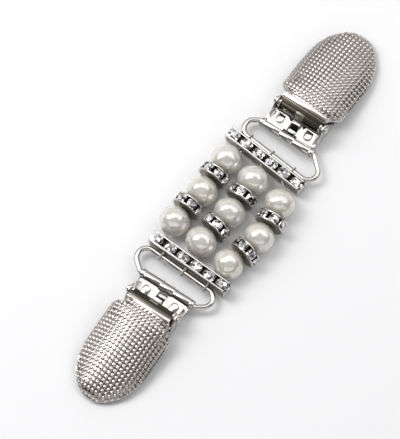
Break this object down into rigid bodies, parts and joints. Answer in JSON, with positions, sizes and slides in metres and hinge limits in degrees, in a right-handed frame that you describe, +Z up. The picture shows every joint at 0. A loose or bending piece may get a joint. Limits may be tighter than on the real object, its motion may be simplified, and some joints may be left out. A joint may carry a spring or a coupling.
{
  "type": "sweater clip",
  "caption": "Sweater clip lying flat: short strands of faux pearls with rhinestone spacers between two rhinestone bars, each hooked by a wire loop to a folding knurled metal clip.",
  "frame": {"origin": "centre of the underside of the whole clip's box, on the table", "axes": "+X along the strands towards the right clip, +Y across the strands towards strand a, +Z up"},
  "size_m": [0.1234, 0.0287, 0.0083],
  "materials": {
    "pearl": "pearl lustre coat",
    "setting": "bright silver plate",
    "stones": "foil-backed cut glass",
    "thread": "clear elastic cord",
    "wire": "nickel-plated steel wire",
    "plate": "nickel-plated sheet steel",
    "spring": "spring steel",
    "pin": "nickel-plated steel",
    "flap": "knurled nickel-plated sheet steel"
  },
  "bodies": {
    "band": {"pearl_a1": "pearl", "pearl_a2": "pearl", "pearl_a3": "pearl", "pearl_b1": "pearl", "pearl_b2": "pearl", "pearl_b3": "pearl", "pearl_c1": "pearl", "pearl_c2": "pearl", "pearl_c3": "pearl", "rondelle_a1": "setting", "rondelle_a2": "setting", "rondelle_b1": "setting", "rondelle_b2": "setting", "rondelle_c1": "setting", "rondelle_c2": "setting", "rondelle_stones_a1": "stones", "rondelle_stones_a2": "stones", "rondelle_stones_b1": "stones", "rondelle_stones_b2": "stones", "rondelle_stones_c1": "stones", "rondelle_stones_c2": "stones", "end_bar_right": "setting", "end_bar_left": "setting", "end_bar_stones_right": "stones", "end_bar_stones_left": "stones", "thread_a": "thread", "thread_b": "thread", "thread_c": "thread"},
    "loop_right": {"wire_loop_right": "wire"},
    "clip_right": {"clip_plate_right": "plate", "jaw_spring_right": "spring", "hinge_pin_right": "pin"},
    "lever_right": {"lever_flap_right": "flap"},
    "loop_left": {"wire_loop_left": "wire"},
    "clip_left": {"clip_plate_left": "plate", "jaw_spring_left": "spring", "hinge_pin_left": "pin"},
    "lever_left": {"lever_flap_left": "flap"}
  },
  "joints": [
    {"name": "loop_swing_right", "type": "hinge", "parent": "band", "child": "loop_right", "pos_m": [0.01995, 0.00162, 0.00295], "axis": [0.0384, 0.9993, 0], "range_deg": [-60, 60]},
    {"name": "clip_swing_right", "type": "hinge", "parent": "loop_right", "child": "clip_right", "pos_m": [0.02621, 0.00131, 0.00295], "axis": [-0.0489, 0.9988, 0], "range_deg": [-60, 60]},
    {"name": "lever_open_right", "type": "hinge", "parent": "clip_right", "child": "lever_right", "pos_m": [0.03253, 0.00162, 0.00595], "axis": [0.0489, -0.9988, 0], "range_deg": [0, 95]},
    {"name": "loop_swing_left", "type": "hinge", "parent": "band", "child": "loop_left", "pos_m": [-0.01995, -0.0003, 0.00295], "axis": [0.0087, -1, 0], "range_deg": [-60, 60]},
    {"name": "clip_swing_left", "type": "hinge", "parent": "loop_left", "child": "clip_left", "pos_m": [-0.02621, 0.00013, 0.00295], "axis": [0.0489, -0.9988, 0], "range_deg": [-60, 60]},
    {"name": "lever_open_left", "type": "hinge", "parent": "clip_left", "child": "lever_left", "pos_m": [-0.03253, -0.00018, 0.00595], "axis": [-0.0489, 0.9988, 0], "range_deg": [0, 95]}
  ]
}
